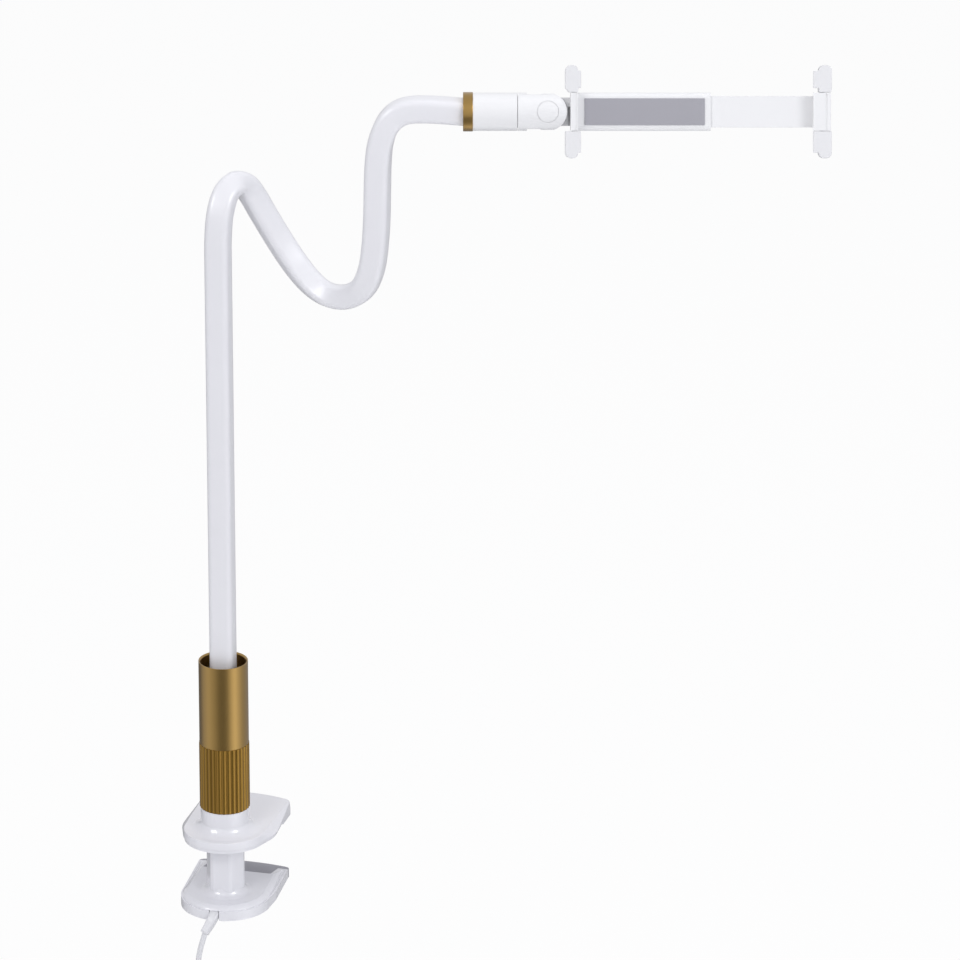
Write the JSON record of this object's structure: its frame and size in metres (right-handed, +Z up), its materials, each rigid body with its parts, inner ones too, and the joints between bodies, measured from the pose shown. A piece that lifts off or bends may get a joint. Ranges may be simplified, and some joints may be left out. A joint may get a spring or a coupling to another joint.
{
  "type": "clamp-on phone holder with light",
  "caption": "Phone holder on a bendable arm that clamps to a desk edge, with a small light in its clamp, a fluted tightening knob, a cord and a sliding two-jaw phone grip.",
  "frame": {"origin": "on the clamp post's axis, on the lower jaw's gripping plane, which rests against the underside of a desk", "axes": "+Z up along the post; +X towards the phone; -Y towards the person; the jaws reach in behind towards +Y, turned 15 degrees clockwise seen from above"},
  "size_m": [0.4062, 0.1004, 0.7149],
  "materials": {
    "white_shell": "smooth, softly glossy white",
    "white_head": "smooth, softly glossy white",
    "arm_skin": "soft matte white skin",
    "gold_metal": "satin gold anodised",
    "brass_nut": "machined",
    "steel": "satin",
    "grey_rubber": "matte grey",
    "holder_rubber": "matte off-white",
    "cord_jacket": "soft satin white",
    "board": "matte green",
    "led_lens": "clear-coated yellow",
    "washer_plastic": "low-friction plastic"
  },
  "bodies": {
    "base": {"lower_jaw": "white_shell", "light_cover": "white_shell", "led_board": "board", "leds": "led_lens", "lower_jaw_pad": "grey_rubber", "base_screws": "steel", "clamp_screw": "steel", "foot_ferrule": "steel", "arm_core": "steel", "arm_skin": "arm_skin", "head_ferrule": "steel", "head_ring": "gold_metal", "head_socket": "white_head", "strain_relief": "cord_jacket", "cord": "cord_jacket", "cord_coil": "cord_jacket", "cord_tie": "grey_rubber", "plug_body": "cord_jacket", "plug_shell": "steel"},
    "upper_jaw_set": {"upper_jaw": "white_shell", "upper_jaw_cover": "white_shell", "upper_jaw_pad": "grey_rubber", "cover_screws": "steel", "thrust_washer": "washer_plastic"},
    "knob_set": {"grip_knob": "gold_metal", "drive_nut": "brass_nut", "sleeve": "gold_metal"},
    "swivel_set": {"knuckle": "white_head", "swivel_screw": "steel", "swivel_washer": "steel", "pivot_pin": "steel", "pivot_caps": "white_head"},
    "holder_set": {"holder_body": "white_head", "holder_cover": "white_head", "holder_screws": "steel", "back_pad": "grey_rubber", "left_top_pad": "holder_rubber", "left_bottom_pad": "holder_rubber", "tilt_washers": "washer_plastic"},
    "slider_set": {"sliding_jaw": "white_head", "right_top_pad": "holder_rubber", "right_bottom_pad": "holder_rubber", "friction_shoe": "washer_plastic"}
  },
  "joints": [
    {"name": "jaw_slide", "type": "slide", "parent": "base", "child": "upper_jaw_set", "axis": [0, 0, 1], "range_m": [-0.03, 0.01]},
    {"name": "knob_turn", "type": "hinge", "parent": "upper_jaw_set", "child": "knob_set", "pos_m": [0, 0, 0.08], "axis": [0, 0, 1], "range_deg": [-3600, 1200]},
    {"name": "head_swivel", "type": "hinge", "parent": "base", "child": "swivel_set", "pos_m": [0.1852, -0.016, 0.5295], "axis": [1, 0, 0], "range_deg": [-175, 175]},
    {"name": "head_tilt", "type": "hinge", "parent": "swivel_set", "child": "holder_set", "pos_m": [0.2039, -0.016, 0.5295], "axis": [0, 0.9472, -0.3206], "range_deg": [-75, 75]},
    {"name": "phone_slide", "type": "slide", "parent": "holder_set", "child": "slider_set", "axis": [1, 0, 0], "range_m": [-0.048, 0.008]}
  ],
  "couplings": [
    {"joint": "jaw_slide", "follows": "knob_turn", "m_per_rad": 0.00047746}
  ]
}
